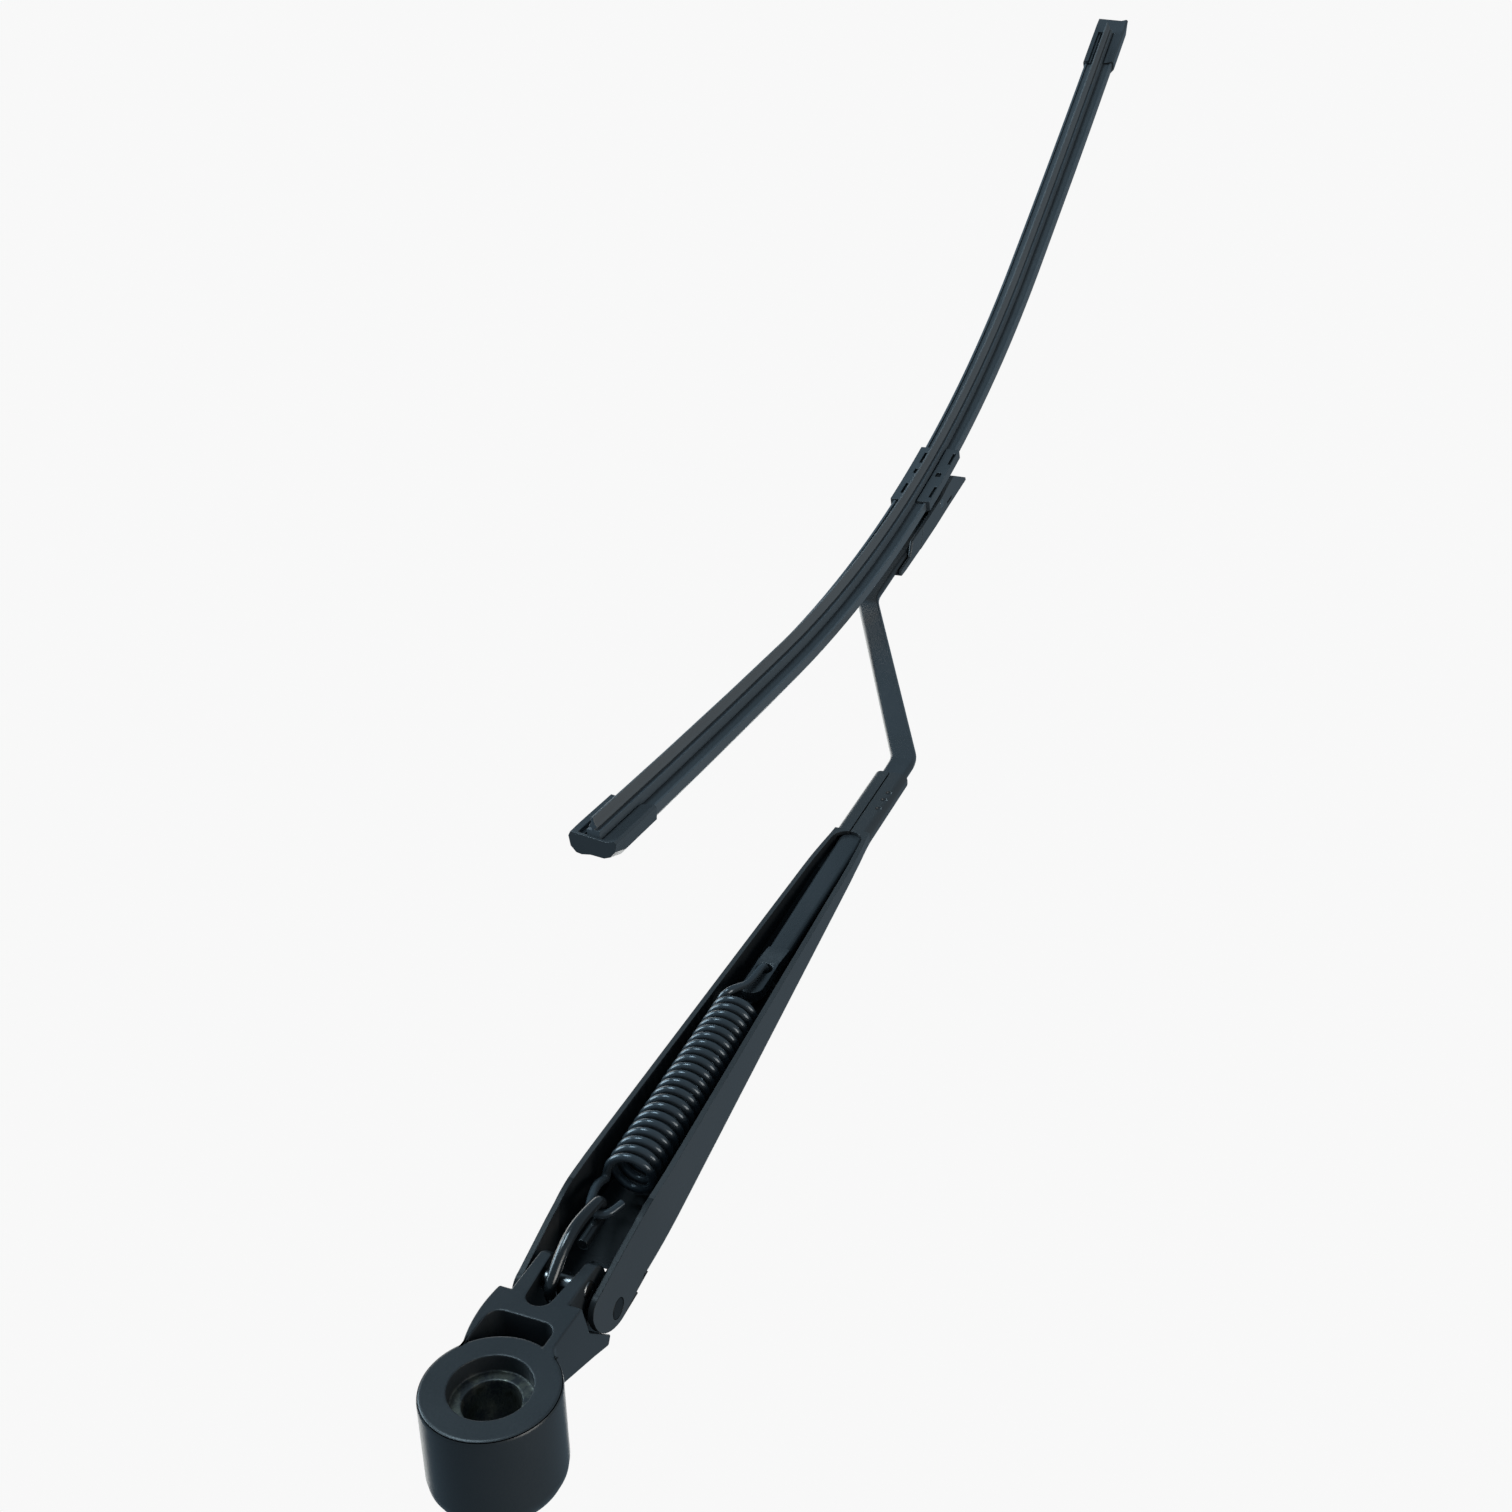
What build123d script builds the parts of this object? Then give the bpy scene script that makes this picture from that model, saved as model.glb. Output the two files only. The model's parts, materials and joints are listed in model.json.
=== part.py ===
from build123d import *
from math import sin, cos, tan, radians, sqrt, pi
import os

os.makedirs("parts", exist_ok=True)

# Wiper arm with a flat blade, lying with its glass side up. Millimetres throughout.
# Origin: axis of the spindle bore on the head's underside face. +Z leaves the bore's mouth,
# +X runs along the arm, +Y is to the left of the arm.

# Head
boss_r = 14.5
boss_edge = 0.5
boss_h = 25.0
boss_round = 6.0
round_steps = 5
cbore_r = 8.6
cbore_d = 4.0
taper_mouth_r = 6.0
taper_root_r = 5.2
taper_d = 12.0
stud_r = 4.1
nut_r = 7.8
nut_d = 7.0
neck_end_x = 26.3
roof_end_x = 37.6
neck_side = 10.07
neck_root_r = 4.0
pocket_far_x = 19.8
pocket_d = 9.0
fork_half = 6.9
fork_top_x = 38.8
nose_r = 5.4
slot_root_x = 23.6
slot_neck_x = 25.6
slot_wide_x = 39.5
slot_mouth_x = 60.0
slot_half_root = 2.9
slot_half_mouth = 4.15
pad_r = 4.4

# Hinge of the arm on the head
y0 = 3.57
pivot = (41.15, y0, -12.32)
arm_tilt = 5.44
pin_r = 2.5
pin_fit = 0.05
press_fit = 0.01
pin_edge = 0.25
side_gap = 0.15
ear_half = 10.25
ear_inner = 8.85

# Anchor, link and spring
anchor_x = 35.0
anchor_z = -3.4
anchor_r = 2.0
link_r = 1.4
link_off = 0.6
link_tail = 7.2
link_sides = 10
hook_gap = 0.2
spring_r = 5.4
spring_wire = 1.05
spring_pitch = 3.06
spring_turns = 21.125
spring_s = 28.0
spring_n = 10.2
spring_tip = 0.84
hook_tip_s = 13.2
hook_rad = 3.3
hook_n = 12.3
hook_y = 0.45
eye_gap = 0.3
turn_steps = 12
spring_sides = 6

# Pressed channel
sheet = 1.4
web_start = 12.3
tab_s = 6.8
tab_slot_w = 4.4
back_n0 = -3.9
back_s0 = 5.0
back_n1 = 8.8
back_s1 = 165.0
wall_top = 14.4
crimp_s0 = 184.0
crimp_s1 = 217.5
crimp_half = 5.4
crimp_round = 2.2
crimp_round_s = 181.0
crimp_tall = 8.0
corner_r = 2.4
ear_end_s = -12.0
ear_end_y = 9.87
ear_s = 8.0
ear_y = 10.5
swell_s = 20.0
swell_y = 10.83
wall_s = 34.0
wall_y = 10.66
waist_s = 158.0
waist_y = 6.99
neck_s = 171.0
neck_y = 6.25
throat_s = 175.5
throat_half = 5.98
throat_len = 4.6
seam_y = 0.4
seam_w = 0.45
dimples = ((195.2, -3.5), (200.6, -3.4), (205.0, -3.5))
dimple_r = 1.15
dimple_d = 0.55
dimple_taper = 30

# Flat bar
bar_w = 8.4
bar_t = 3.0
bar_fit = 0.03
bar_n = back_n1 + sheet + bar_fit + bar_t / 2
tongue_s0 = 99.6
tongue_half = 3.05
tongue_n = 10.5
eye_s = 110.7
eye_r = 2.35
bend_r = 22.0
band_r = 18.0
band_end_s = 446.0
bar_dip_s = 362.0

# Blade
blade_pos = (439.7, 58.73, 30.18)
blade_turn = -1.15
blade_tip = 12.66
arc_r = 608.7
end_arc_r = 5000.0
arc_near = 159.8
arc_far = 156.7
blade_near = 302.9
blade_far = 344.1
cover_half = 7.1
cover_side = 3.4
claw_t = 0.65
rail_t = 0.9
rail_in = 1.0
rail_out = 6.4
rail_gap = 0.08
slot_gap = 0.1
claw_in = 5.9
head_half = 2.3
head_top = 3.0
lip_h = 7.3
lip_half = 0.35
lip_root = 3.85
lip_bend = 5.2
root_half = 1.4
hinge_half = 0.5
body_half = 2.2
body_h = 3.0
bead_half = 2.2
bead_top = 2.9
near_stop = 6.0
far_stop = 10.5
rubber_stop = 1.1
cap_near_len = 25.8
cap_far_len = 34.0
cap_nose = 5.8
cap_wall = 1.0
cap_in = 7.2
cap_gap = 0.06
cap_floor = 0.4
cap_reach = 5.0
tray_left = 5.2
tray_right = -4.6
lip_slot_left = 4.0
lip_slot_right = -2.7
lip_slot_d = 3.1
stop_gap = 0.1
saddle_half = 8.7
saddle_near = 21.5
saddle_far = 20.0
saddle_gap = 0.15
saddle_face = 0.5
window_d = 0.9
window_clear = 0.5
saddle_in = 2.9
saddle_back = 4.6
riser_half = 4.4
riser_r = 3.6

# Adaptor between bar and blade
pin_h = -14.0
adaptor_tip = 5.47
adaptor_half = 6.1
adaptor_wall = 1.4
adaptor_low = -6.0
adaptor_floor = 1.1
adaptor_near = -53.7
adaptor_far = 33.2
seam_top_a = -24.5
seam_low_a = -29.5
seam_gap = 0.2
blade_pin_r = 2.0
blade_pin_fit = 0.05

# Frames
ct = cos(radians(arm_tilt))
st = sin(radians(arm_tilt))
arm = Plane(origin=pivot, x_dir=(ct, 0, st), z_dir=(-st, 0, ct))
arm_side = Plane(origin=pivot, x_dir=(ct, 0, st), z_dir=(0, -1, 0))
head_side = Plane(origin=(0, y0, 0), x_dir=(1, 0, 0), z_dir=(0, -1, 0))
blade_loc = arm.location * Location(blade_pos) * Rot(0, 0, blade_turn) * Rot(0, -blade_tip, 0)
blade_side = Plane(blade_loc * Rot(90, 0, 0))
adaptor_loc = blade_loc * Location((0, 0, pin_h)) * Rot(0, adaptor_tip, 0)
adaptor_side = Plane(adaptor_loc * Rot(90, 0, 0))

# Head: boss, neck with its pocket, and the fork that carries the arm
root_cy = y0 - neck_side - neck_root_r
root_cx = sqrt((boss_r + neck_root_r) ** 2 - root_cy ** 2)
root_k = boss_r / (boss_r + neck_root_r)
root_mx = root_cx - neck_root_r * 0.465
root_my = root_cy + neck_root_r * 0.885

with BuildPart() as neck:
    with BuildSketch(Plane.XY):
        with BuildLine():
            left_arc = ThreePointArc((7.5, 11.3), (16.5, 13.5), (neck_end_x, 13.4))
            Line(left_arc @ 1, (roof_end_x, 13.4))
            Line((roof_end_x, 13.4), (roof_end_x, y0 - neck_side))
            Line((roof_end_x, y0 - neck_side), (root_cx, y0 - neck_side))
            ThreePointArc((root_cx, y0 - neck_side), (root_mx, root_my),
                          (root_cx * root_k, root_cy * root_k))
            Line((root_cx * root_k, root_cy * root_k), (7.5, -5.0))
            Line((7.5, -5.0), left_arc @ 0)
        make_face()
    extrude(amount=-22)
    with BuildSketch(head_side):
        with BuildLine():
            Polyline((2, 0), (neck_end_x, 0), (28.8, -8.8), (roof_end_x, -17.3), (roof_end_x, -19.4),
                     (30, -18.2), (16, -13.6), (2, -11.9), (2, 0))
        make_face()
    extrude(amount=40, both=True, mode=Mode.INTERSECT)
    with BuildSketch(Plane.XY):
        with BuildLine():
            Polyline((7, -4.2), (pocket_far_x, -4.2), (pocket_far_x, 11.2), (7, 11.2), (7, -4.2))
        make_face()
        fillet(vertices().group_by(Axis.X)[-1], 3.0)
    extrude(amount=-pocket_d, mode=Mode.SUBTRACT)

with BuildPart() as fork:
    with BuildSketch(head_side):
        with BuildLine():
            px = pivot[0]
            pz = pivot[2]
            n0 = (px + nose_r * cos(radians(20)), pz + nose_r * sin(radians(20)))
            n1 = (px + nose_r * cos(radians(-40)), pz + nose_r * sin(radians(-40)))
            n2 = (px + nose_r * cos(radians(-100)), pz + nose_r * sin(radians(-100)))
            Line((20, 0), (fork_top_x, 0))
            ThreePointArc((fork_top_x, 0), (41.2, -1.6), (42.6, -4.2))
            Line((42.6, -4.2), n0)
            ThreePointArc(n0, n1, n2)
            Line(n2, (roof_end_x, -19.4))
            Polyline((roof_end_x, -19.4), (30, -18.2), (20, -14.9), (20, 0))
        make_face()
    extrude(amount=fork_half, both=True)
    with BuildSketch(head_side):
        with Locations((px, pz)):
            Circle(pad_r)
    extrude(amount=ear_inner - side_gap, both=True)

foot_turns = [pi / 2 * k / round_steps for k in range(round_steps + 1)]
boss_foot = [(boss_r - boss_round + boss_round * cos(a), -boss_h + boss_round - boss_round * sin(a))
             for a in foot_turns]

with BuildPart() as head:
    with BuildSketch(Plane.XZ):
        with BuildLine():
            Polyline((0, -boss_h), (0, 0), (boss_r - boss_edge, 0), (boss_r, -boss_edge), *boss_foot,
                     (0, -boss_h))
        make_face()
    revolve(axis=Axis.Z)
    add(neck.part)
    add(fork.part)
    with BuildSketch(Plane.XY):
        Circle(cbore_r)
    extrude(amount=-cbore_d, mode=Mode.SUBTRACT)
    with BuildSketch(Plane.XZ):
        with BuildLine():
            Polyline((0, -cbore_d), (taper_mouth_r, -cbore_d), (taper_root_r, -cbore_d - taper_d),
                     (0, -cbore_d - taper_d), (0, -cbore_d))
        make_face()
    revolve(axis=Axis.Z, mode=Mode.SUBTRACT)
    with BuildSketch(Plane.XY):
        Circle(stud_r)
    extrude(amount=-boss_h, mode=Mode.SUBTRACT)
    with BuildSketch(Plane.XY.offset(-boss_h)):
        Circle(nut_r)
    extrude(amount=nut_d, mode=Mode.SUBTRACT)
    # slot between the prongs
    with BuildSketch(Plane.XY):
        with BuildLine():
            Polyline((slot_neck_x, y0 + slot_half_root), (slot_wide_x, y0 + slot_half_mouth),
                     (slot_mouth_x, y0 + slot_half_mouth), (slot_mouth_x, y0 - slot_half_mouth),
                     (slot_wide_x, y0 - slot_half_mouth), (slot_neck_x, y0 - slot_half_root))
            ThreePointArc((slot_neck_x, y0 - slot_half_root), (slot_root_x, y0),
                          (slot_neck_x, y0 + slot_half_root))
        make_face()
    extrude(amount=-30, mode=Mode.SUBTRACT)
    with BuildSketch(head_side):
        with Locations((pivot[0], pivot[2])):
            Circle(pin_r + pin_fit)
        with Locations((anchor_x, anchor_z)):
            Circle(anchor_r)
    extrude(amount=30, both=True, mode=Mode.SUBTRACT)
head.part.label = "head_casting"
export_step(head.part, "parts/head_casting.step")

# Pivot rivets, one through each ear and prong, and the anchor pin across the slot
for name, side in (("pivot_rivet_left", 1), ("pivot_rivet_right", -1)):
    with BuildPart() as rivet:
        with BuildSketch(Plane(arm_side.location * Pos(0, 0, -side * ear_half))):
            Circle(pin_r)
        extrude(amount=side * (ear_half - slot_half_mouth - side_gap))
        chamfer(rivet.edges().filter_by(GeomType.CIRCLE), pin_edge)
    rivet.part.label = name
    export_step(rivet.part, f"parts/{name}.step")

with BuildPart() as anchor_pin:
    with BuildSketch(head_side):
        with Locations((anchor_x, anchor_z)):
            Circle(anchor_r - press_fit)
    extrude(amount=fork_half, both=True)
    chamfer(anchor_pin.edges().filter_by(GeomType.CIRCLE), pin_edge)
anchor_pin.part.label = "anchor_pin"
export_step(anchor_pin.part, "parts/anchor_pin.step")

# Wire link from the anchor pin to the spring's near hook
def bent_wire(stops, radius, sides):
    swell = sqrt(pi / (sides / 2 * sin(2 * pi / sides)))
    ahead = (stops[1] - stops[0]).normalized()
    start = Plane(origin=stops[0], x_dir=(0, 1, 0), z_dir=ahead)
    turns = [2 * pi * k / sides for k in range(sides)]
    spokes = [(start.x_dir * cos(a) + start.y_dir * sin(a)) * (radius * swell) for a in turns]
    rings = []
    for stop, after in zip(stops, stops[1:] + [stops[-1] * 2 - stops[-2]]):
        onward = (after - stop).normalized()
        mitre = ahead + onward
        spokes = [v - ahead * (v.dot(mitre) / ahead.dot(mitre)) for v in spokes]
        rings.append([stop + v for v in spokes])
        spokes = [v - onward * v.dot(onward) for v in spokes]
        ahead = onward
    corners = [rings[0], rings[-1]]
    for here, there in zip(rings, rings[1:]):
        for k in range(sides):
            corners.append([here[k - 1], here[k], there[k], there[k - 1]])
    return Solid(Shell([Face(Wire.make_polygon(c)) for c in corners]))


def along(line, steps):
    return [line @ (i / steps) for i in range(steps)]


link_plane = Plane(origin=(0, y0 + link_off, 0), x_dir=(1, 0, 0), z_dir=(0, -1, 0))
wrap_r = anchor_r + link_r + hook_gap
tip_x = pivot[0] + hook_tip_s * ct - hook_n * st
tip_z = pivot[2] + hook_tip_s * st + hook_n * ct
eye_wrap = spring_wire + link_r + hook_gap

with BuildLine(link_plane):
    near_arc = CenterArc((anchor_x, anchor_z), wrap_r, -70, -140)
    far_arc = CenterArc((tip_x, tip_z), eye_wrap, 72, -157)
    link_run = Spline(near_arc @ 1, (36.6, 2.2), (47.2, 4.6), far_arc @ 0,
                      tangents=(near_arc % 1, far_arc % 0))
link_stops = along(near_arc, 8) + along(link_run, 8) + along(far_arc, 8)
link_stops += [far_arc @ 1, (far_arc @ 1) + (far_arc % 1) * link_tail]
link = bent_wire(link_stops, link_r, link_sides)
link.label = "spring_link"
export_step(link, "parts/spring_link.step")

# Tension spring with a hook at each end
coil_ang = radians(arm_tilt + spring_tip)
coil_plane = Plane(origin=arm.from_local_coords((spring_s, 0, spring_n)), x_dir=(0, 1, 0),
                   z_dir=(cos(coil_ang), 0, sin(coil_ang)))
eye_low = tongue_n - bar_t / 2 - spring_wire - eye_gap
eye_high = tongue_n + bar_t / 2 + spring_wire + eye_gap


def coil_point(turn):
    a = 2 * pi * turn
    return coil_plane.from_local_coords((spring_r * cos(a), spring_r * sin(a), spring_pitch * turn))


coil_stops = [coil_point(i / turn_steps) for i in range(round(spring_turns * turn_steps))]
start_dir = coil_point(0.02) - coil_point(0)
end_dir = coil_point(spring_turns) - coil_point(spring_turns - 0.02)
end_s = arm.to_local_coords(coil_point(spring_turns)).X

with BuildLine(arm):
    hook_arc = CenterArc((hook_tip_s + hook_rad, hook_y, hook_n), hook_rad, 250, -147)
    near_bend = Spline(hook_arc @ 1, (20.4, 4.75, 11.9), (24.6, 5.3, 10.2), (27.3, spring_r, 8.7),
                       coil_point(0), tangents=((0.974, 0.225, 0), start_dir), tangent_scalars=(1, 0.6))
    far_bend_line = Spline(coil_point(spring_turns), (end_s + 2.6, 2.3, 15.55), (end_s + 6.5, 1.2, 13.7),
                           (104.8, 0.3, eye_high + 0.1), (109.7, 0, eye_high - 0.6), (eye_s, 0, tongue_n),
                           (109.6, 0, eye_low + 0.4), (105.0, 0, eye_low),
                           tangents=(end_dir, (-1, 0, 0)), tangent_scalars=(0.6, 1))
spring_stops = [arm.from_local_coords((hook_tip_s + 4.8, -3.65, hook_n))] + along(hook_arc, 6)
spring_stops += along(near_bend, 12) + coil_stops + along(far_bend_line, 20) + [far_bend_line @ 1]
spring = bent_wire(spring_stops, spring_wire, spring_sides)
spring.label = "tension_spring"
export_step(spring, "parts/tension_spring.step")

# Pressed channel: ears, tapering trough and the crimp closed round the bar
back_slope = (back_n1 - back_n0) / (back_s1 - back_s0)
web_n = back_n0 + back_slope * (web_start - back_s0)

wall_dir = (waist_s - wall_s, waist_y - wall_y)


def wall_line(inset):
    Line((ear_end_s, ear_end_y - inset), (ear_s, ear_y - inset))
    Spline((ear_s, ear_y - inset), (swell_s, swell_y - inset), (wall_s, wall_y - inset),
           tangents=((ear_s - ear_end_s, ear_y - ear_end_y), wall_dir))
    Line((wall_s, wall_y - inset), (waist_s, waist_y - inset))


with BuildPart() as outer_plan:
    with BuildSketch(arm):
        with BuildLine():
            wall_line(0)
            Spline((waist_s, waist_y), (neck_s, neck_y), (crimp_s0, crimp_half), tangents=(wall_dir, (1, 0)))
            Polyline((crimp_s0, crimp_half), (crimp_s1, crimp_half), (crimp_s1, 0), (ear_end_s, 0),
                     (ear_end_s, ear_end_y))
        make_face()
        mirror(about=Plane.XZ)
    extrude(amount=30, both=True)

with BuildPart() as trough:
    with BuildSketch(arm_side):
        with BuildLine():
            Line((web_start, web_n), (back_s1, back_n1))
            Line((back_s1, back_n1), (crimp_s1, back_n1))
            Line((crimp_s1, back_n1), (crimp_s1, wall_top))
            Line((crimp_s1, wall_top), (22, wall_top))
            ThreePointArc((22, wall_top), (16.5, 14.15), (web_start, 13.35))
            Line((web_start, 13.35), (web_start, web_n))
        make_face()
    extrude(amount=15, both=True)
    add(outer_plan.part, mode=Mode.INTERSECT)
    low = trough.faces().filter_by(lambda f: f.normal_at().dot(arm.z_dir) < -0.9)
    long_edges = low.edges().filter_by(lambda e: abs(e.center().Y - y0) > 4.0)
    fillet(long_edges, corner_r)

with BuildPart() as ears:
    with BuildSketch(arm_side):
        with BuildLine():
            low_arc = ThreePointArc((0.8, -4.15), (-5.9, -1.6), (-9.7, 4.8))
            end_arc = ThreePointArc((-9.7, 4.8), (-9.4, 8.0), (-6.0, 9.9))
            Line((-6.0, 9.9), (7.5, 12.6))
            Line((7.5, 12.6), (web_start, 13.35))
            Line((web_start, 13.35), (web_start + 3, 13.35))
            Line((web_start + 3, 13.35), (web_start + 3, 2.0))
            Line((web_start + 3, 2.0), (web_start, web_n + corner_r))
            Line((web_start, web_n + corner_r), (8.5, -3.6))
            Line((8.5, -3.6), (0.8, -4.15))
        make_face()
    extrude(amount=15, both=True)
    add(outer_plan.part, mode=Mode.INTERSECT)

with BuildPart() as cavity:
    with BuildSketch(arm):
        with BuildLine():
            wall_line(sheet)
            throat_y = throat_half - sheet
            Spline((waist_s, waist_y - sheet), (neck_s, neck_y - sheet), (throat_s, throat_y),
                   tangents=(wall_dir, (8, -0.5)))
            ThreePointArc((throat_s, throat_y), (throat_s + 3.2, 3.2), (throat_s + throat_len, 0))
            Polyline((throat_s + throat_len, 0), (ear_end_s, 0), (ear_end_s, ear_end_y - sheet))
        make_face()
        mirror(about=Plane.XZ)
    extrude(amount=30, both=True)
    with BuildSketch(arm_side):
        with BuildLine():
            Polyline((-20, -20), (web_start, -20), (web_start, web_n + sheet), (back_s1, back_n1 + sheet),
                     (190, back_n1 + sheet), (190, 25), (-20, 25), (-20, -20))
        make_face()
    extrude(amount=15, both=True, mode=Mode.INTERSECT)

with BuildPart() as web_tab:
    with BuildSketch(arm_side):
        Polygon((tab_s, web_n), (web_start + sheet, web_n), (web_start + sheet, web_n + sheet),
                (tab_s, web_n + sheet), align=None)
    extrude(amount=15, both=True)
    add(outer_plan.part, mode=Mode.INTERSECT)
    with BuildSketch(arm.offset(web_n)):
        with Locations((tab_s, link_off)):
            Rectangle(2 * (web_start - tab_s), tab_slot_w)
    extrude(amount=sheet, mode=Mode.SUBTRACT)

with BuildPart() as channel:
    add(trough.part)
    add(ears.part)
    add(cavity.part, mode=Mode.SUBTRACT)
    add(web_tab.part)
    with BuildSketch(arm.offset(back_n1 + sheet)):
        with Locations((195, 0)):
            Rectangle(60, bar_w + 2 * bar_fit)
    extrude(amount=bar_t + 2 * bar_fit, mode=Mode.SUBTRACT)
    with BuildSketch(Plane(arm.location * Pos(crimp_round_s, 0, wall_top) * Rot(0, 90, 0))):
        Rectangle(2 * crimp_round, 2 * crimp_half + crimp_round)
        with Locations((crimp_tall / 2, 0)):
            RectangleRounded(crimp_tall, 2 * crimp_half, crimp_round, mode=Mode.SUBTRACT)
    extrude(amount=crimp_s1, mode=Mode.SUBTRACT)
    with BuildSketch(arm.offset(wall_top)):
        with Locations((200, seam_y)):
            Rectangle(50, seam_w)
    extrude(amount=-1.5, mode=Mode.SUBTRACT)
    with BuildSketch(arm.offset(wall_top)):
        with Locations(*dimples):
            Circle(dimple_r)
    extrude(amount=-dimple_d, taper=dimple_taper, mode=Mode.SUBTRACT)
    with BuildSketch(arm_side):
        Circle(pin_r + press_fit)
    extrude(amount=15, both=True, mode=Mode.SUBTRACT)
channel.part.label = "arm_channel"
export_step(channel.part, "parts/arm_channel.step")

# Flat bar: tongue with the spring's eye, straight run through the crimp, offset run, blade end
bend_s = 230.8
far_bend = (366.2, 60.2)
bar_end = (432.0, 58.88)
low_top = adaptor_low + adaptor_floor
rise = radians(blade_tip - adaptor_tip)
pin_s = blade_pos[0] - pin_h * sin(radians(blade_tip))
pin_n = blade_pos[2] + pin_h * cos(radians(blade_tip))
bar_q = low_top + bar_fit + bar_t / 2
bar_dip = pin_n + bar_q * cos(rise) - (pin_s - bar_q * sin(rise) - bar_dip_s) * tan(rise)
with BuildPart() as bar_band:
    with BuildSketch(arm_side):
        with BuildLine():
            FilletPolyline((90, tongue_n), (113, tongue_n), (119, bar_n), (229, bar_n), (bar_dip_s, bar_dip),
                           (band_end_s, bar_dip + (band_end_s - bar_dip_s) * tan(rise)), radius=band_r)
        trace(line_width=bar_t)
    extrude(amount=100, both=True)

with BuildPart() as bar:
    with BuildSketch(arm):
        with BuildLine():
            FilletPolyline((119.5, 0), (bend_s, 0), far_bend, bar_end, radius=bend_r)
        trace(line_width=bar_w)
        with BuildLine():
            Polyline((tongue_s0 + tongue_half, tongue_half), (113.5, tongue_half), (119.5, bar_w / 2),
                     (125, bar_w / 2), (125, -bar_w / 2), (119.5, -bar_w / 2), (113.5, -tongue_half),
                     (tongue_s0 + tongue_half, -tongue_half), (tongue_s0 + tongue_half, tongue_half))
        make_face()
        with Locations((tongue_s0 + tongue_half, 0)):
            Circle(tongue_half)
        with Locations((eye_s, 0)):
            Circle(eye_r, mode=Mode.SUBTRACT)
    extrude(amount=40, both=True)
    add(bar_band.part, mode=Mode.INTERSECT)
bar.part.label = "arm_bar"
export_step(bar.part, "parts/arm_bar.step")

# Blade: centre line of three arcs, in the plane of the blade's length and height
near_a = arc_near / arc_r
far_a = arc_far / arc_r


def near_point(t):
    if t <= arc_near:
        return (-arc_r * sin(t / arc_r), arc_r * (1 - cos(t / arc_r)))
    a = near_a + (t - arc_near) / end_arc_r
    return (-arc_r * sin(near_a) - end_arc_r * (sin(a) - sin(near_a)),
            arc_r * (1 - cos(near_a)) + end_arc_r * (cos(near_a) - cos(a)))


def far_point(t):
    if t <= arc_far:
        return (arc_r * sin(t / arc_r), arc_r * (1 - cos(t / arc_r)))
    a = far_a + (t - arc_far) / end_arc_r
    return (arc_r * sin(far_a) + end_arc_r * (sin(a) - sin(far_a)),
            arc_r * (1 - cos(far_a)) + end_arc_r * (cos(far_a) - cos(a)))


def blade_arc(point, start, stop):
    ThreePointArc(point(start), point((start + stop) / 2), point(stop))


with BuildLine(blade_side) as rubber_line:
    blade_arc(near_point, blade_near - rubber_stop, arc_near)
    ThreePointArc(near_point(arc_near), (0, 0), far_point(arc_far))
    blade_arc(far_point, arc_far, blade_far - far_stop)

with BuildLine(blade_side) as rail_line:
    blade_arc(near_point, blade_near - near_stop, arc_near)
    ThreePointArc(near_point(arc_near), (0, 0), far_point(arc_far))
    blade_arc(far_point, arc_far, blade_far - far_stop)

with BuildLine(blade_side) as near_cover_line:
    blade_arc(near_point, blade_near - near_stop, arc_near)
    blade_arc(near_point, arc_near, saddle_near + saddle_gap)

with BuildLine(blade_side) as far_cover_line:
    blade_arc(far_point, saddle_far + saddle_gap, arc_far)
    blade_arc(far_point, arc_far, blade_far - far_stop)

blade_left = blade_side.z_dir * -1


def section_at_start(line):
    return Plane(origin=line @ 0, x_dir=blade_left, z_dir=line % 0)


rail_low = claw_t + rail_gap
rail_high = rail_low + rail_t
rail_roof = rail_high + rail_gap

with BuildPart() as rubber:
    with BuildSketch(section_at_start(rubber_line.line)):
        with BuildLine():
            Polyline((0, -bead_top), (bead_half, -bead_top), (bead_half, -rail_roof),
                     (rail_in - slot_gap, -rail_roof), (rail_in - slot_gap, -claw_t), (body_half, -claw_t),
                     (body_half, body_h), (hinge_half, body_h + slot_gap), (hinge_half, lip_root - slot_gap),
                     (root_half, lip_root), (root_half, lip_root + lip_half), (2 * lip_half, lip_bend),
                     (lip_half, lip_h), (0, lip_h), (0, -bead_top))
        make_face()
        mirror(about=Plane.YZ)
    sweep(path=rubber_line.line)
rubber.part.label = "wiper_rubber"
export_step(rubber.part, "parts/wiper_rubber.step")

for name, side in (("rail_left", 1), ("rail_right", -1)):
    with BuildPart() as rail:
        with BuildSketch(section_at_start(rail_line.line)):
            with Locations((side * (rail_in + rail_out) / 2, -(rail_low + rail_high) / 2)):
                Rectangle(rail_out - rail_in, rail_t)
        sweep(path=rail_line.line)
    rail.part.label = name
    export_step(rail.part, f"parts/{name}.step")

slot_out = rail_out + slot_gap
rail_slot = [(-slot_out, -claw_t), (-slot_out, -rail_roof), (-head_half, -rail_roof), (-head_half, -head_top),
             (head_half, -head_top), (head_half, -rail_roof), (slot_out, -rail_roof), (slot_out, -claw_t)]
cover_back = [(cover_half, -3.0), (2.0, -4.5), (-3.5, -5.8), (-5.6, -5.3), (-cover_half, -cover_side)]
cover_outline = [(claw_in, 0), (cover_half, 0), *cover_back, (-cover_half, 0), (-claw_in, 0),
                 (-claw_in, -claw_t), *rail_slot, (claw_in, -claw_t), (claw_in, 0)]

for name, line in (("spoiler_inner", near_cover_line.line), ("spoiler_outer", far_cover_line.line)):
    with BuildPart() as spoiler:
        with BuildSketch(section_at_start(line)):
            with BuildLine():
                Polyline(*cover_outline)
            make_face()
        sweep(path=line)
    spoiler.part.label = name
    export_step(spoiler.part, f"parts/{name}.step")

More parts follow.
